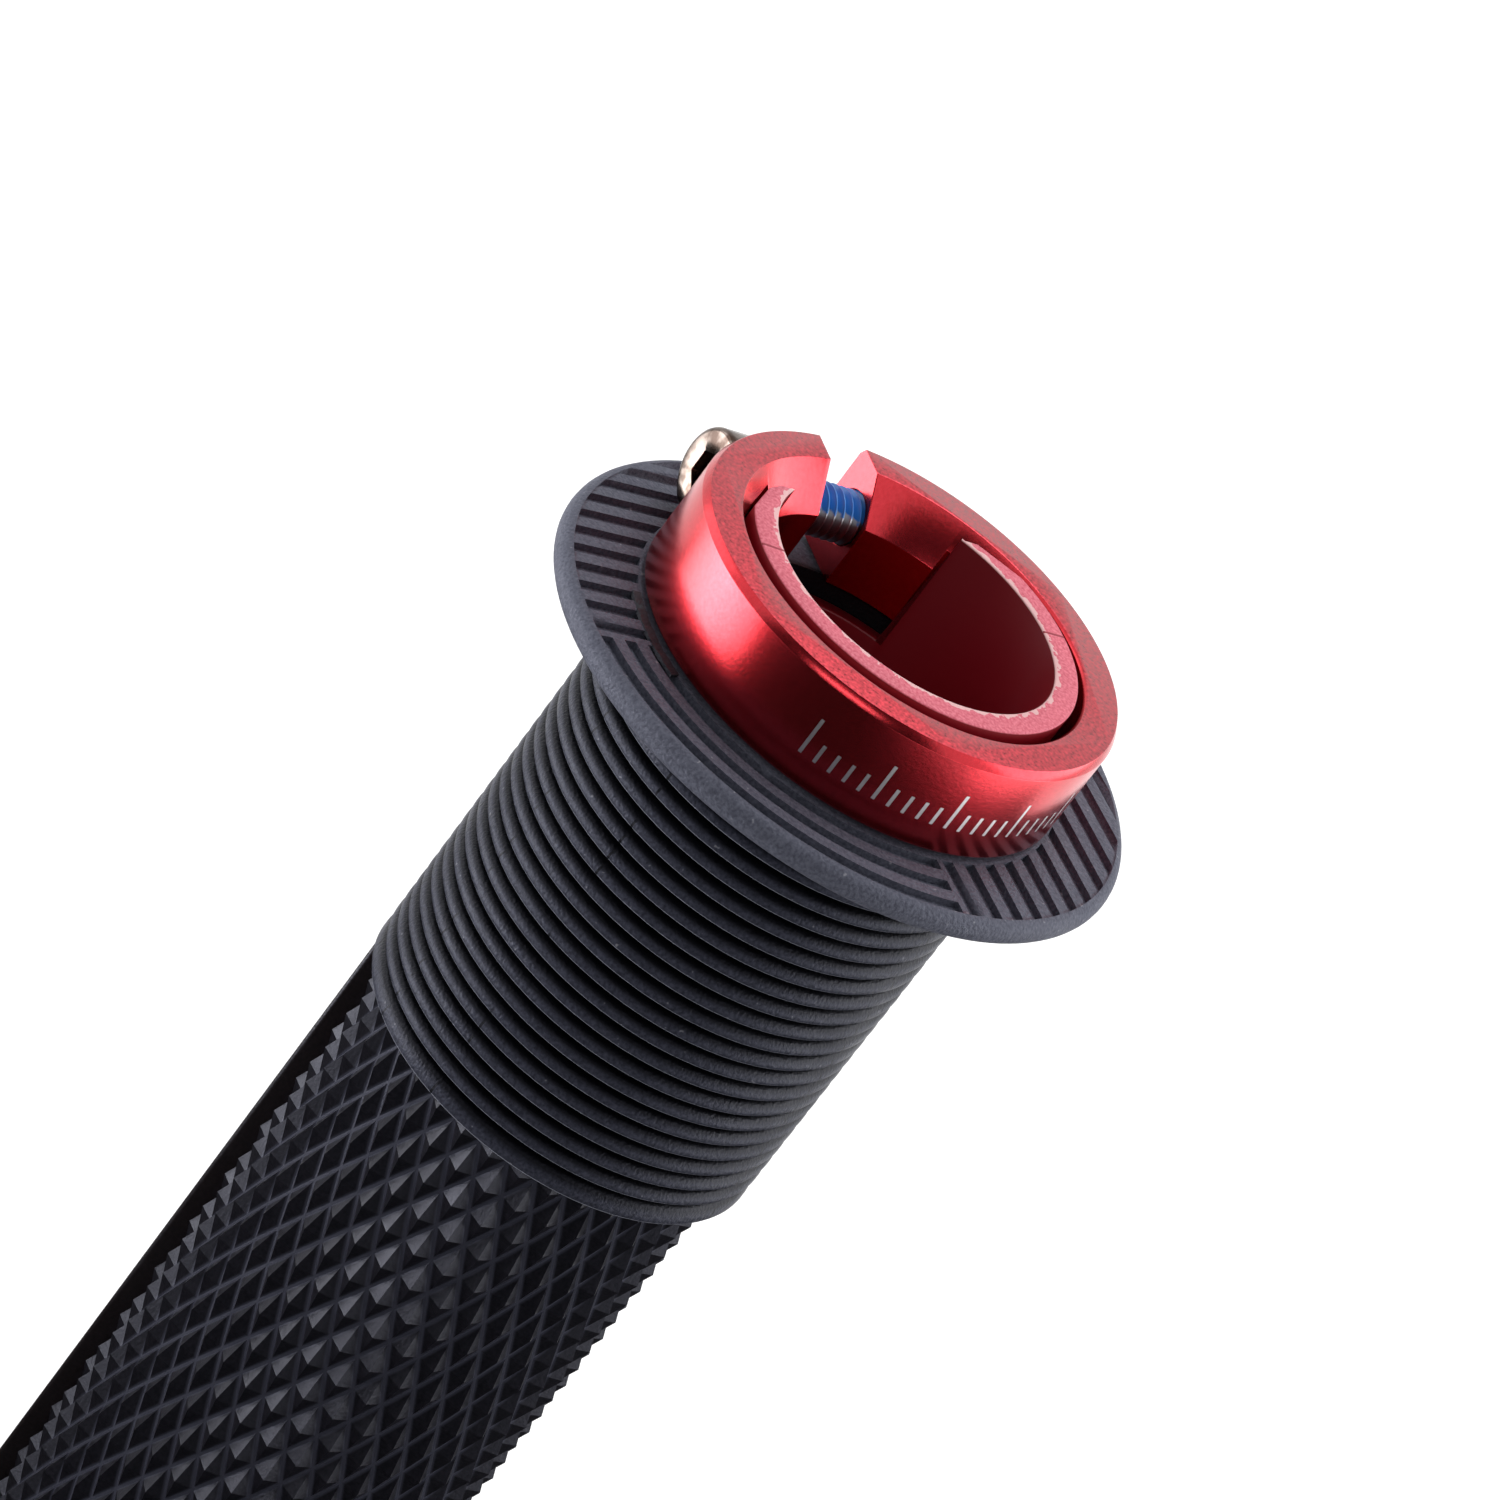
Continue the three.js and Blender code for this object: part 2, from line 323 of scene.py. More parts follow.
def rubber(name, dark, light, roughness, relief, dust=0.0, shine=0.3):
    """Moulded rubber with its grain in the colour, the gloss and the relief, and dust on it."""
    material, tree, shader = material_named(name)
    grain = add(tree.nodes, "ShaderNodeGroup", node_tree=grain_group).outputs
    colour = blend(tree, grain["Grain"], dark, light)
    if dust:
        share = maths(tree, "MULTIPLY", grain["Specks"], dust)
        colour = blend(tree, share, colour, (0.3, 0.3, 0.33, 1))
    tree.links.new(colour, shader.inputs["Base Color"])
    wear = ramp(tree, grain["Blotches"], 0, 1, roughness - 0.07, roughness + 0.07)
    tree.links.new(wear, shader.inputs["Roughness"])
    bump = add(tree.nodes, "ShaderNodeBump", inputs={"Height": grain["Grain"], "Distance": relief})
    tree.links.new(bump.outputs[0], shader.inputs["Normal"])
    shader.inputs["Specular IOR Level"].default_value = shine
    shader.inputs["Specular Tint"].default_value = (0.78, 0.8, 1, 1)
    return material


def placed(tree):
    """Where a point lies on the grip: its angle, its distance from the axis and its height."""
    return add(tree.nodes, "ShaderNodeGroup", node_tree=place_group).outputs


def tinted(material, share, colour):
    """Lays another colour over a material's own where the share is one."""
    tree = material.node_tree
    base = tree.nodes["Principled BSDF"].inputs["Base Color"]
    tree.links.new(blend(tree, share, base.links[0].from_socket, colour), base)


def tinted_below(material, radius, reach, colour):
    """Tints what lies nearer the bar than a radius, and blends it out over a short reach."""
    tree = material.node_tree
    tinted(material, ramp(tree, placed(tree)["Radius"], radius - reach, radius, 1, 0), colour)


flange_rubber = rubber(
    "flange_rubber", (0.058, 0.06, 0.082, 1), (0.115, 0.12, 0.155, 1), 0.6, 0.00004, dust=0.6
)
bore_shadow = 0.6 * mm
tinted_below(flange_rubber, sleeve_bore + bore_shadow, 0.4 * mm, (0.004, 0.004, 0.005, 1))
finished(flange, "grip_sleeve", flange_rubber)

# The flash. A low, ragged lip of the same rubber that crept out of the mould on the flange's face,
# beside the collar's foot, and was left untrimmed.
flash_wide = 0.7 * mm
flash_tall = 0.18 * mm
flash_sunk = 0.1 * mm
flash_ragged = 0.08 * mm
flash_from = math.radians(-62)
flash_sweep = math.radians(28)

flash_outline = [(groove_inner, flange_face - flash_sunk)]
flash_outline += [(groove_inner + flash_wide, flange_face - flash_sunk)]
flash_outline += [(groove_inner + 0.6 * mm, flange_face + flash_ragged)]
flash_outline += [(groove_inner, flange_face + flash_tall)]
flash = turned("sleeve_flash", flash_outline, 40, flash_from, flash_sweep)
edit()
bpy.ops.transform.vertex_random(offset=flash_ragged, seed=5)
bpy.ops.mesh.normals_make_consistent(inside=False)
bpy.ops.object.mode_set(mode="OBJECT")
flash_rubber = rubber("flash_rubber", (0.004, 0.004, 0.005, 1), (0.012, 0.012, 0.015, 1), 0.5, 0.00002)
finished(flash, "grip_sleeve", flash_rubber)

# The ribs. Soft rings of the same moulding under the thumb and first finger, so thin and deep that
# they fold over under load, with a few small nicks across them. The last one ends in a wider plain
# band beside the knurl.
rib_count = 22
rib_wide = 1.02 * mm
rib_pitch = 1.52 * mm
rib_radius = 15.85 * mm
rib_floor = 14.45 * mm
neck_groove = 0.25 * mm
edge_band = 1.5 * mm
# How far above the plain band's lower edge its painted highlight line lies.
band_highlight_rise = 0.09 * mm
knurl_top = flange_back - neck_groove - rib_count * rib_pitch - edge_band


def rib_section(low, high):
    """Outline of one rib's crown, from its crisp lower edge to its rounded upper one."""
    tall = high - low
    shape = [(0.3, 0), (0.06, 0.03), (0, 0.1), (0, 0.3), (0.05, 0.52), (0.17, 0.74)]
    shape += [(0.36, 0.91), (0.65, 1)]
    return [(rib_radius - drop * mm, low + share * tall) for drop, share in shape]


ribs_outline = [(sleeve_bore, flange_back), (sleeve_bore, knurl_top), (rib_floor, knurl_top)]
ribs_outline += rib_section(knurl_top, knurl_top + edge_band)
for rib in range(rib_count):
    rib_low = knurl_top + edge_band + rib * rib_pitch + (rib_pitch - rib_wide)
    ribs_outline += [(rib_floor, rib_low - rib_pitch + rib_wide), (rib_floor, rib_low)]
    ribs_outline += rib_section(rib_low, rib_low + rib_wide)
ribs_outline += [(rib_floor, flange_back - neck_groove), (rib_floor, flange_back)]
ribs = turned("sleeve_ribs", ribs_outline, steps=144)
rib_rubber = rubber(
    "rib_rubber",
    (0.015, 0.016, 0.024, 1),
    (0.045, 0.047, 0.067, 1),
    0.42,
    0.00003,
    dust=0.4,
    shine=0.2,
)
rib_tree = rib_rubber.node_tree
# Painted highlights: a thin pale line just above the lower edge of every rib, and one at the foot of
# the plain band, stand for light caught by those edges.
along = maths(rib_tree, "SUBTRACT", placed(rib_tree)["Height"], knurl_top + edge_band)
along = maths(rib_tree, "FRACT", maths(rib_tree, "DIVIDE", along, rib_pitch))
painted_edge_highlights = maths(rib_tree, "COMPARE", along, 1 - rib_wide / rib_pitch + 0.045, 0.02)
on_ribs = maths(rib_tree, "GREATER_THAN", placed(rib_tree)["Height"], knurl_top + edge_band)
painted_edge_highlights = maths(rib_tree, "MULTIPLY", painted_edge_highlights, on_ribs)
band_edge = (placed(rib_tree)["Height"], knurl_top + band_highlight_rise, 0.03 * mm)
painted_edge_highlights = maths(rib_tree, "MAXIMUM", painted_edge_highlights, maths(rib_tree, "COMPARE", *band_edge))
tinted(rib_rubber, painted_edge_highlights, (0.24, 0.25, 0.3, 1))
# Painted shade: all that lies below the crowns, the grooves and the ribs' sloping sides, is painted
# near black.
tinted_below(rib_rubber, rib_radius - 0.03 * mm, 0.16 * mm, (0.002, 0.002, 0.003, 1))


def seams(tree, angles, half_wide):
    """Thin lines along a piece, at angles about the bar in degrees, where its mould closed."""
    lines = maths(tree, "COMPARE", placed(tree)["Angle"], angles[0], half_wide)
    for angle in angles[1:]:
        line = maths(tree, "COMPARE", placed(tree)["Angle"], angle, half_wide)
        lines = maths(tree, "MAXIMUM", lines, line)
    return lines


patchy = ramp(rib_tree, noise(rib_tree, 400.0, 1.0), 0.45, 0.5)
nick_angles = (-75.0, -49.0, -22.0, 70.0)
nicks = maths(rib_tree, "MULTIPLY", seams(rib_tree, nick_angles, 0.35), patchy)
tinted(rib_rubber, nicks, (0.003, 0.003, 0.004, 1))
finished(ribs, "grip_sleeve", rib_rubber, smooth=50)

# The knurl. Small pyramids in staggered rows on the lower half of the sleeve, moulded with sharp
# tips so that they bite the palm, with thin flat lands between them.
knurl_count = 36
knurl_pitch = 5.05 * mm
knurl_tip = 14.45 * mm
knurl_land = 13.6 * mm
land_wide = 0.2 * mm
knurl_rows = 17
knurl_high = knurl_top + 1.2 * mm
knurl_low = knurl_high - knurl_rows * knurl_pitch


def upright(edge):
    return abs(edge.verts[0].co.z - edge.verts[1].co.z) > mm


def on_first_grid(edge):
    """An upright or level edge, and not one of the slanting edges that poking the grid adds."""
    a, b = (end.co for end in edge.verts)
    return abs(a.z - b.z) < 0.01 * mm or math.hypot(a.x - b.x, a.y - b.y) < 0.01 * mm


def radius_of(point):
    return math.hypot(point.co.x, point.co.y)


bpy.ops.object.select_all(action="DESELECT")
bpy.ops.mesh.primitive_cylinder_add(
    vertices=knurl_count,
    radius=knurl_land,
    depth=knurl_high - knurl_low,
    end_fill_type="NOTHING",
    location=(0, 0, (knurl_high + knurl_low) / 2),
)
knurl = bpy.context.object
knurl.name = "sleeve_knurl"
bpy.ops.object.transform_apply()
edit()
select_where(knurl, "EDGE", upright)
bpy.ops.mesh.subdivide(number_cuts=knurl_rows - 1)
bpy.ops.mesh.select_mode(type="FACE")
bpy.ops.mesh.select_all(action="SELECT")
bpy.ops.mesh.poke()
chord = knurl_land * math.cos(math.pi / knurl_count)
select_where(knurl, "VERT", lambda point: radius_of(point) < (knurl_land + chord) / 2)
grow = knurl_land / chord
bpy.ops.transform.resize(value=(grow, grow, 1), center_override=(0, 0, 0))
select_where(knurl, "EDGE", on_first_grid)
bpy.ops.mesh.dissolve_edges(use_verts=False)
bpy.ops.mesh.select_mode(type="FACE")
bpy.ops.mesh.select_all(action="SELECT")
bpy.ops.mesh.inset(use_individual=True, use_boundary=True, thickness=land_wide / 2)
bpy.ops.mesh.poke(offset=knurl_tip - knurl_land)
select_where(knurl, "EDGE", lambda edge: edge.is_boundary)
shrink = (sleeve_bore + 0.1 * mm) / knurl_land
bpy.ops.mesh.extrude_edges_move()
bpy.ops.transform.resize(value=(shrink, shrink, 1), center_override=(0, 0, 0))
bpy.ops.mesh.bridge_edge_loops()
bpy.ops.mesh.select_all(action="SELECT")
bpy.ops.mesh.normals_make_consistent(inside=False)
bpy.ops.object.mode_set(mode="OBJECT")
knurl_rubber = rubber(
    "knurl_rubber", (0.004, 0.004, 0.006, 1), (0.011, 0.01, 0.014, 1), 0.38, 0.00001, shine=0.27
)
# Painted highlight: the flat lands and the feet of the pyramids are painted lighter, standing for the
# light the lands catch.
painted_land_highlight = (0.034, 0.035, 0.05, 1)
tinted_below(knurl_rubber, knurl_land + 0.12 * mm, 0.1 * mm, painted_land_highlight)
finished(knurl, "grip_sleeve", knurl_rubber, smooth=20)

# The smooth strip. A bare raised band of the same moulding along the back of the knurl, from the
# ribs to the end ring, with its long edges rounded off.
strip_radius = 15.6 * mm
strip_from = math.radians(-144)
strip_to = math.radians(-85)
strip_round = 0.35 * mm
strip_overlap = 0.3 * mm
ring_tall = 6 * mm

strip_outline = [(sleeve_bore, ring_tall - mm), (strip_radius, ring_tall - mm)]
strip_end = knurl_top + strip_overlap
strip_outline += [(strip_radius, strip_end), (sleeve_bore, strip_end)]
edge = {"limit_method": "ANGLE", "angle_limit": math.radians(50), "use_clamp_overlap": False}
strip = turned("sleeve_strip", strip_outline, 30, strip_from, strip_to - strip_from)
apply_modifier(strip, "BEVEL", width=strip_round, segments=3, **edge)
# The strip's rubber is darker and redder than the rest of the moulding: painted shade with a painted
# red cast of light.
strip_rubber = rubber(
    "strip_rubber", (0.006, 0.004, 0.004, 1), (0.011, 0.007, 0.007, 1), 0.35, 0.00001
)
finished(strip, "grip_sleeve", strip_rubber)

# The end ring. The rounded outboard end of the sleeve, of the same rubber, with a thin lip turned
# in over the end of the core tube so that the palm meets no hard edge.
gap = 0.3 * mm
ring_round = 2 * mm
ring_blunt = 0.4 * mm
lip_tall = 1.2 * mm
bar_bore = 11.2 * mm

end_outline = [(bar_bore + gap, 0)]
end_outline += arc((strip_radius - ring_round, ring_round), ring_round, -90, 0, 8)
end_outline += arc((strip_radius - ring_blunt, ring_tall - ring_blunt), ring_blunt, 0, 90, 3)
end_outline += [(sleeve_bore, ring_tall), (sleeve_bore, lip_tall), (bar_bore + gap, lip_tall)]
end_ring = turned("sleeve_end_ring", end_outline, steps=96)
# The end ring takes the ribs' material, and with it their painted shade: it lies below the crowns'
# radius, so it is painted near black.
finished(end_ring, "grip_sleeve", rib_rubber)

# The core tube. Hard red plastic that grips the bar and carries the rubber. Its thick hub stands up
# inside the collar; one cut opens it at the clamp, and two flats clear the clamping pad.
core_low, core_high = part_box("core_tube")
split_angle = math.radians(220.6)
core_thin = 12.4 * mm
hub_radius = core_high.x
window_reach = 8.52 * mm
window_floor = flange_face - 1.6 * mm
flats = [(-40.6, 12.15 * mm), (49.4, 12.5 * mm)]
corner = (29.2, 11.58 * mm)
core_outline = [(bar_bore, core_low.z), (core_thin, core_low.z), (core_thin, flange_face + gap)]
core_outline += [(hub_radius, flange_face + gap), (hub_radius, core_high.z)]
core_outline += [(bar_bore, core_high.z)]
core = turned("core_tube_moulding", core_outline, steps=144)


def beyond(name, degrees, distance, low, high=1.0):
    """What lies past a flat at an angle from the split, from one height to another."""
    across = 4 * hub_radius
    angle = split_angle + math.radians(degrees)
    return block(name, (distance, -across, low), (across, across, high), angle)


hub_cuts = [beyond("window", 0, window_reach, window_floor)]
hub_cuts += [beyond("flat", angle, distance, flange_face) for angle, distance in flats + [corner]]
shaped(core, "DIFFERENCE", hub_cuts)
apply_modifier(merged(core), "BEVEL", width=0.12 * mm, segments=2, **edge)
apply_modifier(core, "WEIGHTED_NORMAL", keep_sharp=True)
core_plastic, core_tree, core_shader = material_named("core_plastic")
core_grain = add(core_tree.nodes, "ShaderNodeGroup", node_tree=grain_group).outputs
core_place = placed(core_tree)
# The end face is pale pink: partly the whitening of the sawn face, partly painted light on the top.
# The rest of the core is painted a far darker red: painted shade inside the collar and the bore.
lit_sawn_face = ramp(core_tree, core_place["Height"], core_high.z - 0.14 * mm, core_high.z - 0.06 * mm)
lit_sawn_colour = blend(core_tree, core_grain["Grain"], (0.6, 0.07, 0.12, 1), (0.84, 0.22, 0.28, 1))
ragged = ramp(core_tree, noise(core_tree, 1200.0, 2.0), 0.4, 0.6, 0.1 * mm, 0.5 * mm)
burr = maths(core_tree, "LESS_THAN", core_place["Radius"], maths(core_tree, "ADD", ragged, bar_bore))
lit_sawn_colour = blend(core_tree, burr, lit_sawn_colour, (0.85, 0.5, 0.5, 1))
core_colour = blend(core_tree, lit_sawn_face, (0.2, 0.002, 0.009, 1), lit_sawn_colour)
core_tree.links.new(core_colour, core_shader.inputs["Base Color"])
weld_lines = maths(core_tree, "MULTIPLY", seams(core_tree, (132.0, -53.0), 0.5), lit_sawn_face)
tinted(core_plastic, weld_lines, (0.3, 0.01, 0.03, 1))
core_gloss = ramp(core_tree, lit_sawn_face, 0, 1, 0.38, 0.6)
core_tree.links.new(core_gloss, core_shader.inputs["Roughness"])
core_relief = {"Height": maths(core_tree, "MULTIPLY", core_grain["Grain"], lit_sawn_face), "Distance": 0.00002}
core_relief = add(core_tree.nodes, "ShaderNodeBump", inputs=core_relief)
core_tree.links.new(core_relief.outputs[0], core_shader.inputs["Normal"])
finished(core, "core_tube", core_plastic)

# The clamp collar. Turned from aluminium bar with a cone in its outer end, then milled out for the
# hub and its flats, and anodised red. What the mill leaves beside the split bears on the bar.
collar_radius = collar_high.x
collar_top = collar_high.z
collar_bottom = collar_low.z
collar_bore = 13.75 * mm
key_gap = 0.3 * mm
chamfer_wide = 0.35 * mm
chamfer_tall = 0.62 * mm
foot_chamfer = 0.2 * mm
split_wide = 4.1 * mm
pad_bore = 11.35 * mm
pad_half_angle = math.radians(39)
cone_radius = 13.95 * mm
cone_tall = 3.1 * mm
bolt_outset = 13.6 * mm
bolt_height = (collar_top + collar_bottom) / 2
bolt_radius = 2 * mm
head_radius = 3.45 * mm
head_seat = 6.6 * mm
head_tall = 3.8 * mm
bolt_room = 0.2 * mm


def along_bolt(name, radius, start, end, sides=64):
    """A round bar on the bolt's axis, between two distances past the middle of the split."""
    bpy.ops.object.select_all(action="DESELECT")
    bpy.ops.mesh.primitive_cylinder_add(
        vertices=sides,
        radius=radius,
        depth=end - start,
        location=(bolt_outset, (start + end) / 2, bolt_height),
        rotation=(math.pi / 2, 0, 0),
    )
    bar = bpy.context.object
    bar.name = name
    bpy.ops.object.transform_apply()
    bar.rotation_euler.z = split_angle
    bpy.ops.object.transform_apply()
    return bar


collar_outline = [(pad_bore, collar_bottom), (collar_radius - foot_chamfer, collar_bottom)]
collar_outline += [(collar_radius, collar_bottom + foot_chamfer)]
collar_outline += [(collar_radius, collar_top - chamfer_tall)]
collar_outline += [(collar_radius - chamfer_wide, collar_top)]
collar_outline += [(cone_radius, collar_top), (pad_bore, collar_top - cone_tall)]
collar = turned("clamp_collar_body", collar_outline, steps=192)
below = collar_bottom - mm
above = collar_top + mm
room_outline = [(bar_bore / 2, below), (collar_bore, below), (collar_bore, above)]
hub_room = turned("hub_room", room_outline + [(bar_bore / 2, above)], steps=192)
pad_outline = [(bar_bore / 4, below - mm), (2 * collar_bore, below - mm)]
pad_outline += [(2 * collar_bore, above + mm), (bar_bore / 4, above + mm)]
pad = turned("pad", pad_outline, 32, split_angle - pad_half_angle, 2 * pad_half_angle)
key_flats = [beyond("key", angle, distance + key_gap, below - mm) for angle, distance in flats]
shaped(hub_room, "DIFFERENCE", key_flats + [pad])
shaped(collar, "DIFFERENCE", [hub_room])
half = split_wide / 2
split = block("split", (0, -half, below), (0.03, half, above), split_angle)
tapped = along_bolt("tapped_hole", bolt_radius + 0.05 * mm, -0.03, 0)
clear = along_bolt("clearance_hole", bolt_radius + bolt_room, 0, head_seat + mm)
pocket = along_bolt("head_pocket", head_radius + bolt_room, head_seat, 0.04)
shaped(collar, "DIFFERENCE", [split, tapped, clear, pocket])
blunt = {**edge, "angle_limit": math.radians(25)}
apply_modifier(merged(collar), "BEVEL", width=0.05 * mm, segments=2, **blunt)
apply_modifier(collar, "WEIGHTED_NORMAL", keep_sharp=True)
red_anodised, collar_tree, collar_shader = material_named("red_anodised_aluminium")
collar_place = placed(collar_tree)
tick_step = 4.0
tick_line = 0.45
first_tick, last_tick = -2.0, 82.0
tick_foot = collar_bottom + 2.2 * mm
tick_tall = 1.5 * mm
tick_skin = 0.1 * mm
angle, height = collar_place["Angle"], collar_place["Height"]
short_tick, long_tick = (
    maths(collar_tree, "LESS_THAN", maths(collar_tree, "PINGPONG", angle, step / 2), tick_line)
    for step in (tick_step, 5 * tick_step)
)
tick_top = ramp(collar_tree, long_tick, 0, 1, tick_foot + tick_tall, tick_foot + 2 * tick_tall)
ticks = maths(collar_tree, "MULTIPLY", short_tick, maths(collar_tree, "LESS_THAN", height, tick_top))
skin = (collar_place["Radius"], collar_radius - tick_skin)
for value, limit in ((height, tick_foot), (angle, first_tick), skin):
    past_limit = maths(collar_tree, "GREATER_THAN", value, limit)
    ticks = maths(collar_tree, "MULTIPLY", ticks, past_limit)
before_last = maths(collar_tree, "LESS_THAN", angle, last_tick)
ticks = maths(collar_tree, "MULTIPLY", ticks, before_last)
mottle = ramp(collar_tree, noise(collar_tree, 3500.0, 8.0), 0.25, 0.75)
faced = ramp(collar_tree, height, collar_top - 0.06 * mm, collar_top - 0.02 * mm)
dye = blend(collar_tree, mottle, (0.54, 0.012, 0.022, 1), (0.64, 0.026, 0.04, 1))
faced_dye = blend(collar_tree, mottle, (0.22, 0.004, 0.012, 1), (0.62, 0.04, 0.06, 1))
dye = blend(collar_tree, faced, dye, faced_dye)
dye = blend(collar_tree, ticks, dye, (0.75, 0.73, 0.74, 1))
collar_tree.links.new(dye, collar_shader.inputs["Base Color"])
dull = maths(collar_tree, "MAXIMUM", ticks, maths(collar_tree, "MULTIPLY", faced, mottle))
dull = ramp(collar_tree, dull, 0, 1, 0.24, 0.42)
collar_tree.links.new(dull, collar_shader.inputs["Roughness"])
scuffs = {"Height": mottle, "Distance": 0.000004}
scuffs = add(collar_tree.nodes, "ShaderNodeBump", inputs=scuffs)
collar_tree.links.new(scuffs.outputs[0], collar_shader.inputs["Normal"])
collar_shader.inputs["Metallic"].default_value = 1
collar_shader.inputs["Coat Weight"].default_value = 0.4
collar_shader.inputs["Coat Roughness"].default_value = 0.2
collar_shader.inputs["Coat IOR"].default_value = 1.6
finished(collar, "clamp_collar", red_anodised, smooth=20)

# The bolt. A plated M4 socket head cap screw with a rolled thread, which draws the split together.
# Dried blue thread lock covers the upper side of the thread where it crosses the split.
thread_pitch = 0.7 * mm
thread_deep = 0.43 * mm
bolt_tip = -5.4 * mm
turns = 17
bpy.ops.object.select_all(action="DESELECT")
bpy.ops.mesh.primitive_plane_add(size=mm, location=(0, 0, 0))
thread = bpy.context.object
thread.name = "bolt_thread"
edit()
bpy.ops.mesh.merge(type="CENTER")
thread_section = [(bolt_radius - thread_deep, 0), (bolt_radius - thread_deep, 0.1 * thread_pitch)]
thread_section += [(bolt_radius, 0.48 * thread_pitch), (bolt_radius, 0.62 * thread_pitch)]
thread_section += [(bolt_radius - thread_deep, thread_pitch)]
bpy.ops.transform.translate(value=(thread_section[0][0], 0, bolt_tip))
for here, there in zip(thread_section, thread_section[1:]):
    step = (there[0] - here[0], 0, there[1] - here[1])
    bpy.ops.mesh.extrude_region_move(TRANSFORM_OT_translate={"value": step})
bpy.ops.object.mode_set(mode="OBJECT")
apply_modifier(
    thread,
    "SCREW",
    screw_offset=thread_pitch,
    iterations=turns,
    steps=40,
    render_steps=40,
    use_merge_vertices=True,
    merge_threshold=0.002 * mm,
)
edit()
bpy.ops.mesh.remove_doubles(threshold=0.002 * mm)
bpy.ops.mesh.select_all(action="DESELECT")
bpy.ops.mesh.select_non_manifold()
bpy.ops.mesh.fill()
bpy.ops.mesh.select_all(action="SELECT")
bpy.ops.mesh.normals_make_consistent(inside=False)
bpy.ops.object.mode_set(mode="OBJECT")


def set_on_bolt_axis(piece):
    """Lays a piece that was made upright along the bolt, with its height running past the split."""
    piece.rotation_euler = (-math.pi / 2, 0, 0)
    piece.location = (bolt_outset, 0, bolt_height)
    bpy.ops.object.select_all(action="DESELECT")
    piece.select_set(True)
    bpy.context.view_layer.objects.active = piece
    bpy.ops.object.transform_apply()
    piece.rotation_euler.z = split_angle
    bpy.ops.object.transform_apply()


head_edge = 0.45 * mm
key_across = 3 * mm
key_deep = 2 * mm
head_top = head_seat + head_tall
head_outline = [(0, head_seat), (head_radius, head_seat), (head_radius, head_top - head_edge)]
head_outline += arc((head_radius - head_edge, head_top - head_edge), head_edge, 0, 90, 5)
head_outline += [(0, head_top)]
head = turned("bolt_head", head_outline, steps=96)
bpy.ops.object.select_all(action="DESELECT")
bpy.ops.mesh.primitive_cylinder_add(
    vertices=6,
    radius=key_across / 2 / math.cos(math.pi / 6),
    depth=2 * key_deep,
    location=(0, 0, head_top),
)
shaped(head, "DIFFERENCE", [bpy.context.object])
apply_modifier(head, "BEVEL", width=0.08 * mm, segments=2, **edge)
thread_steel, thread_tree, thread_shader = material_named("thread_steel")
lock_edge = 0.95 * mm
drips = ramp(thread_tree, noise(thread_tree, 1500.0, 3.0), 0, 1, -0.7 * mm, 0.7 * mm)
lock = maths(thread_tree, "ADD", placed(thread_tree)["Height"], drips)
lock = ramp(
    thread_tree, lock, bolt_height + lock_edge - 0.1 * mm, bolt_height + lock_edge + 0.1 * mm
)
rolled_steel = (0.42, 0.42, 0.45, 1)
lock_blue = (0.03, 0.2, 0.6, 1)
coated = blend(thread_tree, lock, rolled_steel, lock_blue)
thread_tree.links.new(coated, thread_shader.inputs["Base Color"])
bare = ramp(thread_tree, lock, 0, 1, 1, 0)
thread_tree.links.new(bare, thread_shader.inputs["Metallic"])
thread_shader.inputs["Roughness"].default_value = 0.28
head_steel, head_tree, head_shader = material_named("head_steel")
stain = ramp(head_tree, noise(head_tree, 900.0, 2.0), 0.4, 0.6)
plated = blend(head_tree, stain, (0.07, 0.045, 0.035, 1), (0.2, 0.16, 0.14, 1))
head_tree.links.new(plated, head_shader.inputs["Base Color"])
head_shader.inputs["Metallic"].default_value = 1
head_shader.inputs["Roughness"].default_value = 0.16
for part, part_steel in ((thread, thread_steel), (head, head_steel)):
    set_on_bolt_axis(part)
    finished(part, "clamp_bolt", part_steel)

# The studio. The grip stands on its outboard end on a pale floor in a white room. Soft boxes stand
# left, right, above and in front. A black cloth on the floor and a black flag that stands behind the
# camera give the metal its dark tones.
floor_wide = 4.0
flag_away = 1.0
floor_glow = (0.4, 0.9)
room_light = 0.25


def seen_directly(tree):
    """One for what the camera sees, straight or in metal and glass, and nought for plain light."""
    path = add(tree.nodes, "ShaderNodeLightPath")
    seen = path.outputs["Is Camera Ray"]
    for kind in ("Is Glossy Ray", "Is Transmission Ray"):
        seen = maths(tree, "MAXIMUM", seen, path.outputs[kind])
    return seen


def level_sheet(name, low, high, height):
    """A flat sheet over the floor, from one corner to the other."""
    bpy.ops.object.select_all(action="DESELECT")
    bpy.ops.mesh.primitive_plane_add(size=1)
    sheet = bpy.context.object
    sheet.name = name
    sheet.scale = (high[0] - low[0], high[1] - low[1], 1)
    sheet.location = ((high[0] + low[0]) / 2, (high[1] + low[1]) / 2, height)
    bpy.ops.object.transform_apply()
    return sheet


half_floor = floor_wide / 2
floor = level_sheet("floor", (-half_floor, -half_floor), (half_floor, half_floor), -0.1 * mm)
floor_paint, floor_tree, floor_shader = material_named("floor_paint")
floor_shader.inputs["Base Color"].default_value = (0.8, 0.8, 0.8, 1)
floor_shader.inputs["Roughness"].default_value = 1
floor_shader.inputs["Specular IOR Level"].default_value = 0
glow = ramp(floor_tree, placed(floor_tree)["Radius"], 0.2, 1.2, *floor_glow)
glow = add(floor_tree.nodes, "ShaderNodeEmission", inputs={"Strength": glow})
glowing = {0: floor_shader.outputs[0], 1: glow.outputs[0]}
glowing = add(floor_tree.nodes, "ShaderNodeAddShader", inputs=glowing)
floor_look = {0: seen_directly(floor_tree), 1: floor_shader.outputs[0], 2: glowing.outputs[0]}
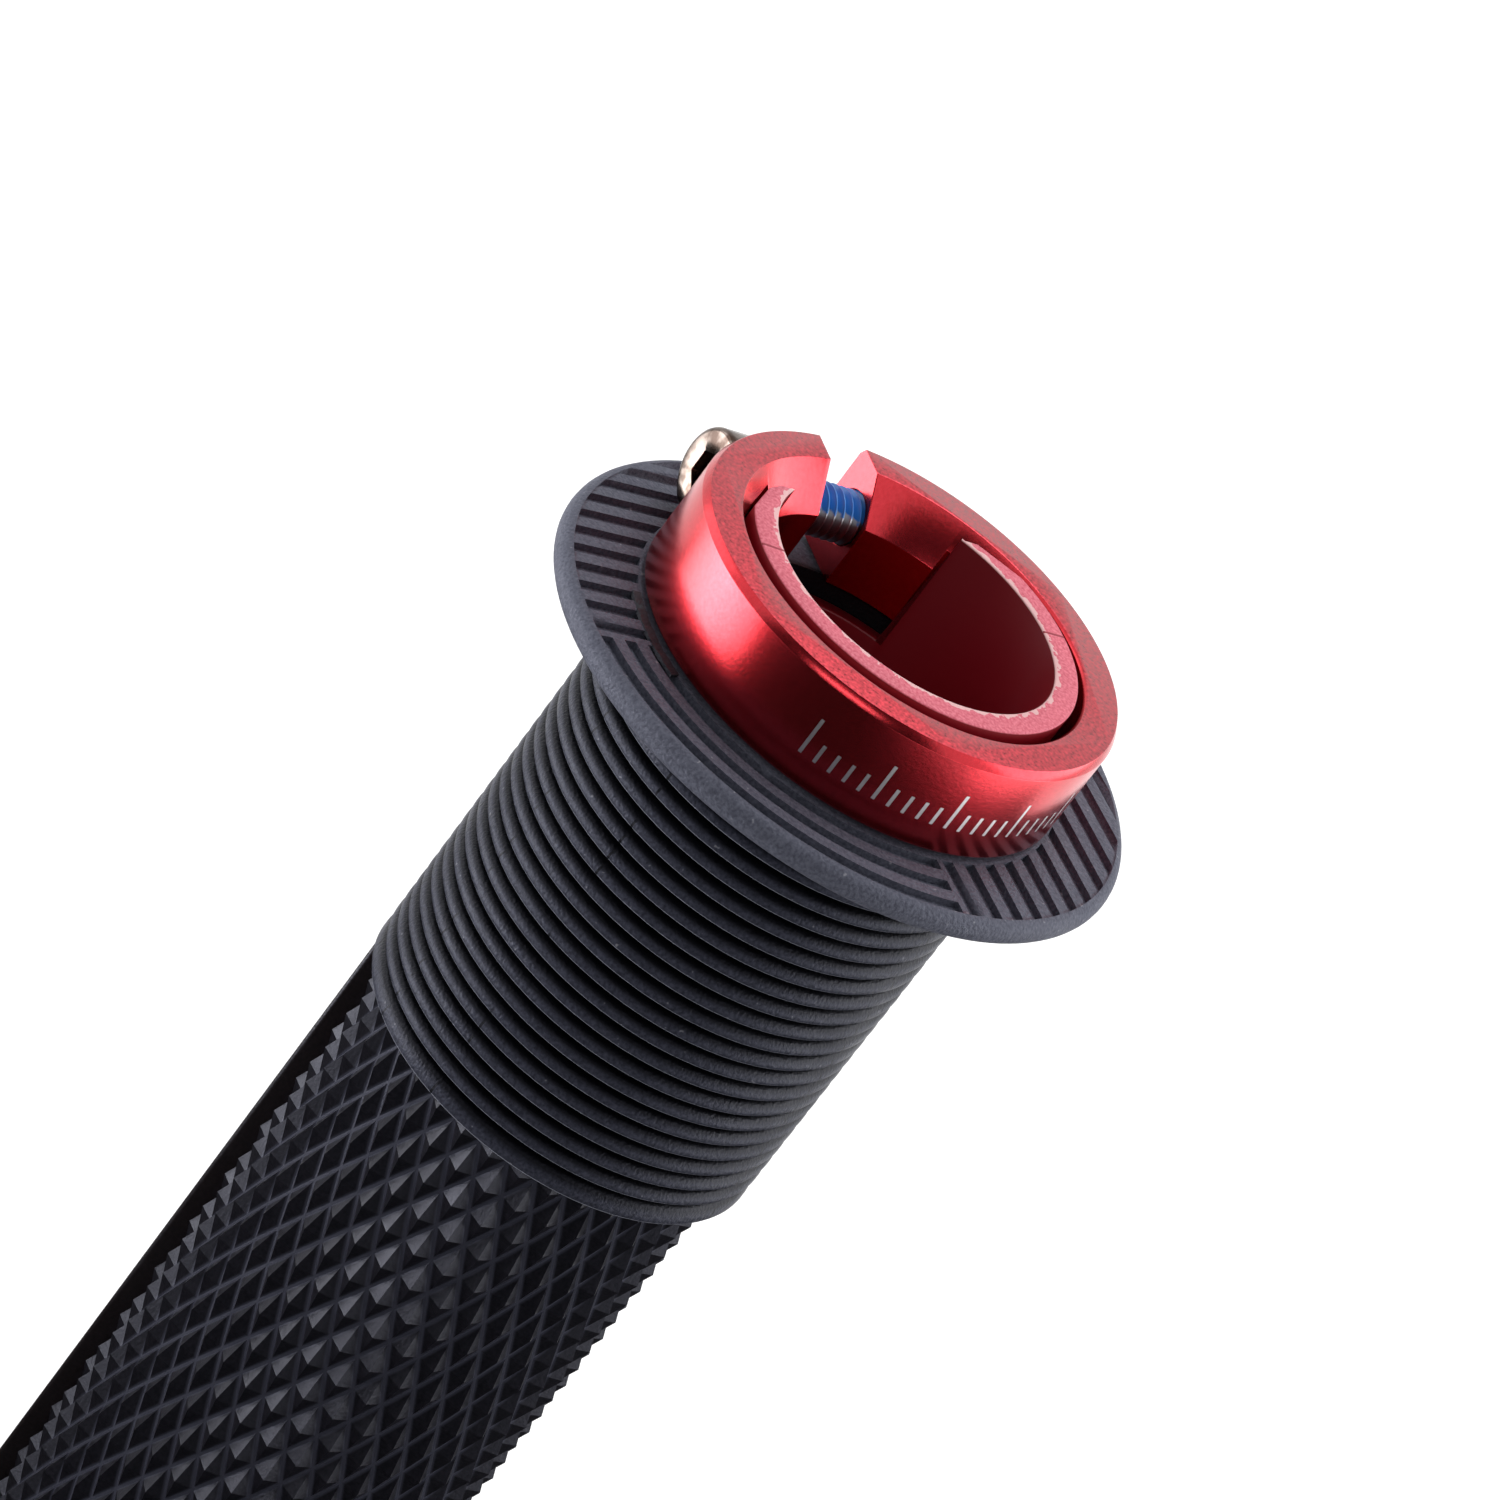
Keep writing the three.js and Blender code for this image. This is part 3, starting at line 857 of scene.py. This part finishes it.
floor_look = add(floor_tree.nodes, "ShaderNodeMixShader", inputs=floor_look)
floor_end = floor_tree.nodes["Material Output"]
floor_tree.links.new(floor_look.outputs[0], floor_end.inputs["Surface"])
floor.data.materials.append(floor_paint)

cloth = level_sheet("black_cloth", (-0.12, -0.4), (0.95, 0.3), mm)
flag = level_sheet("black_flag", (-2.5, -1.2), (0, 1.2), flag_away)
flag.data.transform(Matrix.Rotation(math.radians(90), 4, "Y"))
cloth_weave, _, cloth_shader = material_named("cloth_weave")
cloth_shader.inputs["Base Color"].default_value = (0.02, 0.02, 0.02, 1)
cloth_shader.inputs["Roughness"].default_value = 1
for dark in (cloth, flag):
    dark.visible_camera = False
    dark.visible_shadow = False
    dark.visible_diffuse = False
    dark.data.materials.append(cloth_weave)

world = bpy.data.worlds.new("studio")
bpy.context.scene.world = world
world.use_nodes = True
room = world.node_tree
strength = ramp(room, seen_directly(room), 0, 1, room_light, 1)
room.nodes["Background"].inputs["Color"].default_value = (1, 1, 1, 1)
room.links.new(strength, room.nodes["Background"].inputs["Strength"])


def soft_box(name, turn, lift, distance, size, bright, spread=180):
    """A lamp aimed at the collar, with its angle about the grip and above level in degrees."""
    light = bpy.data.lights.new(name, "AREA")
    light.shape = "RECTANGLE"
    light.size, light.size_y = size
    light.spread = math.radians(spread)
    light.energy = bright * math.pi * size[0] * size[1]
    lamp = bpy.data.objects.new(name, light)
    bpy.context.scene.collection.objects.link(lamp)
    lamp.visible_camera = False
    turn, lift = math.radians(turn), math.radians(lift)
    way = Vector((math.cos(lift) * math.cos(turn), math.cos(lift) * math.sin(turn), math.sin(lift)))
    lamp.location = Vector((0, 0, collar_top)) + distance * way
    lamp.rotation_euler = way.to_track_quat("Z", "Y").to_euler()


soft_box("left_box", -80, -19, 0.25, (0.28, 0.13), 1.6, spread=70)
soft_box("left_high_box", -98, 14, 0.6, (0.4, 0.3), 1.3)
soft_box("right_box", 112, 20, 0.6, (0.6, 0.35), 3.0)
soft_box("right_low_box", 92, -14, 0.4, (0.3, 0.2), 2.5)
soft_box("front_box", 0, 31, 0.9, (0.5, 0.1), 5.0)
soft_box("top_box", 180, 72, 0.8, (0.5, 0.5), 4.5)

# The camera. It looks down at the clamp end from the grip's +X side, and leans over so that the
# grip runs from the middle of the picture to its lower left corner.
camera_aim = Vector((0, -2.77 * mm, 117.75 * mm))
camera_distance = 0.5467
camera_azimuth = math.radians(0.33)
camera_elevation = math.radians(28.054)
camera_roll = math.radians(37.3)
camera_lens = 190.24
camera = bpy.data.objects.new("camera", bpy.data.cameras.new("camera"))
bpy.context.scene.collection.objects.link(camera)
bpy.context.scene.camera = camera
camera.data.sensor_width = 36
camera.data.lens = camera_lens
camera.data.clip_start = 0.01
level = math.cos(camera_elevation)
back = Vector(
    (level * math.cos(camera_azimuth), level * math.sin(camera_azimuth), math.sin(camera_elevation))
)
camera.location = camera_aim + camera_distance * back
camera.rotation_mode = "QUATERNION"
camera.rotation_quaternion = back.to_track_quat("Z", "Y") @ Quaternion((0, 0, 1), camera_roll)

bpy.context.scene.view_settings.view_transform = "Standard"
